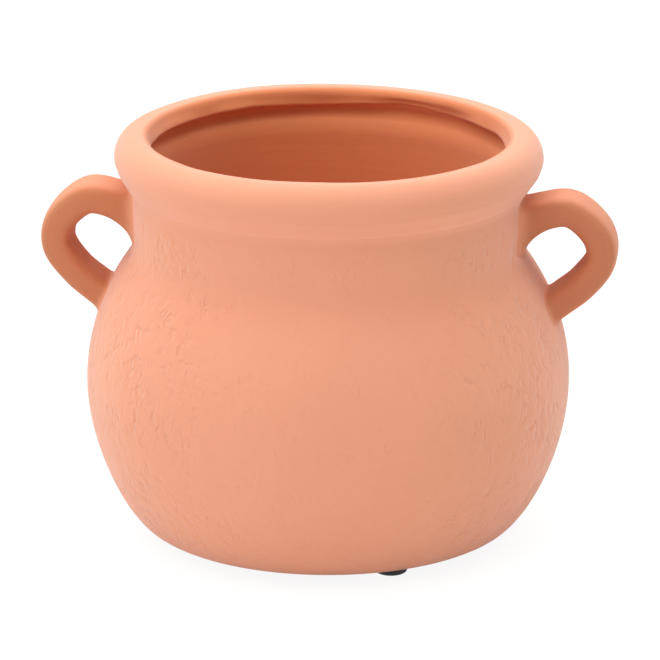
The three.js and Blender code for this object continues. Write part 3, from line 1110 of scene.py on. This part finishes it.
# %% Put the pieces on the frame
BODY = "root"
stands_for = [
    (pot, "pot_body", "pot_clay"),
    (handle_right, "handle_right", "handle_clay"),
    (handle_left, "handle_left", "handle_clay"),
    *((pads[way], f"foot_pad_{way}", "pad_rubber") for way in pads),
    *((films[way], f"adhesive_film_{way}", "adhesive_film") for way in films),
]
for piece, node, slot in stands_for:
    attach(piece, BODY)
    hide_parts(node)
print("pieces:", len(stands_for))

# %% [markdown]
# The stage is a white floor that keeps a faint shadow. To the camera most of the floor is
# plain white, as in a studio picture, while the light that it gives back to the pot is that
# of a matte white sheet.

# %% Floor
FLOOR_SIZE = 6
FLOOR_WHITE = (0.90, 0.90, 0.90, 1)
FLOOR_GLOW_SHARE = 0.86
FLOOR_GLOW = 1.06

floor_bm = bmesh.new()
bmesh.ops.create_grid(floor_bm, x_segments=1, y_segments=1, size=FLOOR_SIZE / 2)
floor = finished(floor_bm, "floor")

sheet = Recipe("white_sheet")
path = sheet.add("ShaderNodeLightPath")
seen = sheet.math("MAXIMUM", path.outputs["Is Camera Ray"], path.outputs["Is Glossy Ray"])
seen = sheet.math("MAXIMUM", seen, path.outputs["Is Transmission Ray"])
matte = sheet.add("ShaderNodeBsdfDiffuse", {"Color": FLOOR_WHITE})
glow = sheet.add("ShaderNodeEmission", {"Color": (1, 1, 1, 1), "Strength": FLOOR_GLOW})
blend = sheet.add("ShaderNodeMixShader", {
    0: sheet.math("MULTIPLY", seen, FLOOR_GLOW_SHARE),
    1: matte.outputs[0], 2: glow.outputs[0]})
sheet.add("ShaderNodeOutputMaterial", {"Surface": blend.outputs[0]})
floor.data.materials.append(sheet.material)

# %% [markdown]
# The light is that of a light tent. Its cloth, which is the world here, gives a little light
# from everywhere, and shows itself bright only to the camera. A light path node tells the
# kinds of ray apart.

# %% The tent's cloth
WORLD_LIGHT = 0.05

world = bpy.data.worlds.new("tent")
bpy.context.scene.world = world
world.use_nodes = True
tent = world.node_tree
tent.nodes.clear()
world_path = tent.nodes.new("ShaderNodeLightPath")
world_seen = tent.nodes.new("ShaderNodeMath")
world_seen.operation = "MAXIMUM"
tent.links.new(world_path.outputs["Is Camera Ray"], world_seen.inputs[0])
tent.links.new(world_path.outputs["Is Transmission Ray"], world_seen.inputs[1])
level = tent.nodes.new("ShaderNodeMapRange")
level.inputs["To Min"].default_value = WORLD_LIGHT
level.inputs["To Max"].default_value = 1.0
tent.links.new(world_seen.outputs[0], level.inputs["Value"])
background = tent.nodes.new("ShaderNodeBackground")
tent.links.new(level.outputs["Result"], background.inputs["Strength"])
world_out = tent.nodes.new("ShaderNodeOutputWorld")
tent.links.new(background.outputs[0], world_out.inputs["Surface"])
print("world light:", WORLD_LIGHT)

# %% [markdown]
# A wide panel hangs above the pot and does most of the work. Weaker panels stand around it,
# mostly beside and behind, so that its sides are brighter than its front. A panel's place is
# given as a turn from the camera's side and a height, both as angles seen from the pot.

# %% Panels
AIM = Vector((0, 0, 0.06))
PANEL_DISTANCE = 1.6
TOP_SIZE = 2.4
SIDE_SIZE = 0.9


def panel(name, round_degrees, up_degrees, size, watts):
    """A square soft light that faces the pot, turned to the right of the camera and up."""
    light = bpy.data.lights.new(name, "AREA")
    light.shape = "SQUARE"
    light.size = size
    light.energy = watts
    lamp = bpy.data.objects.new(name, light)
    turned = CAMERA_AZIMUTH + math.radians(round_degrees)
    up = math.radians(up_degrees)
    ray = Vector((
        math.sin(turned) * math.cos(up), -math.cos(turned) * math.cos(up), math.sin(up)))
    lamp.location = AIM + ray * PANEL_DISTANCE
    lamp.rotation_euler = ray.to_track_quat("Z", "Y").to_euler()
    bpy.context.scene.collection.objects.link(lamp)


panel("top_panel", 0, 90, TOP_SIZE, 45.5)
panel("front_panel", 5, 15, SIDE_SIZE, 2.4)
panel("front_left_panel", -45, 35, SIDE_SIZE, 4.5)
panel("left_panel", -90, 35, SIDE_SIZE, 4.7)
panel("back_left_panel", -135, 35, SIDE_SIZE, 4.8)
panel("back_panel", 180, 28, SIDE_SIZE, 4.4)
panel("back_right_panel", 135, 20, SIDE_SIZE, 3.4)
panel("right_panel", 90, 20, SIDE_SIZE, 2.1)
print("panels:", len(bpy.data.lights))

view = bpy.context.scene.view_settings
view.view_transform = "Standard"
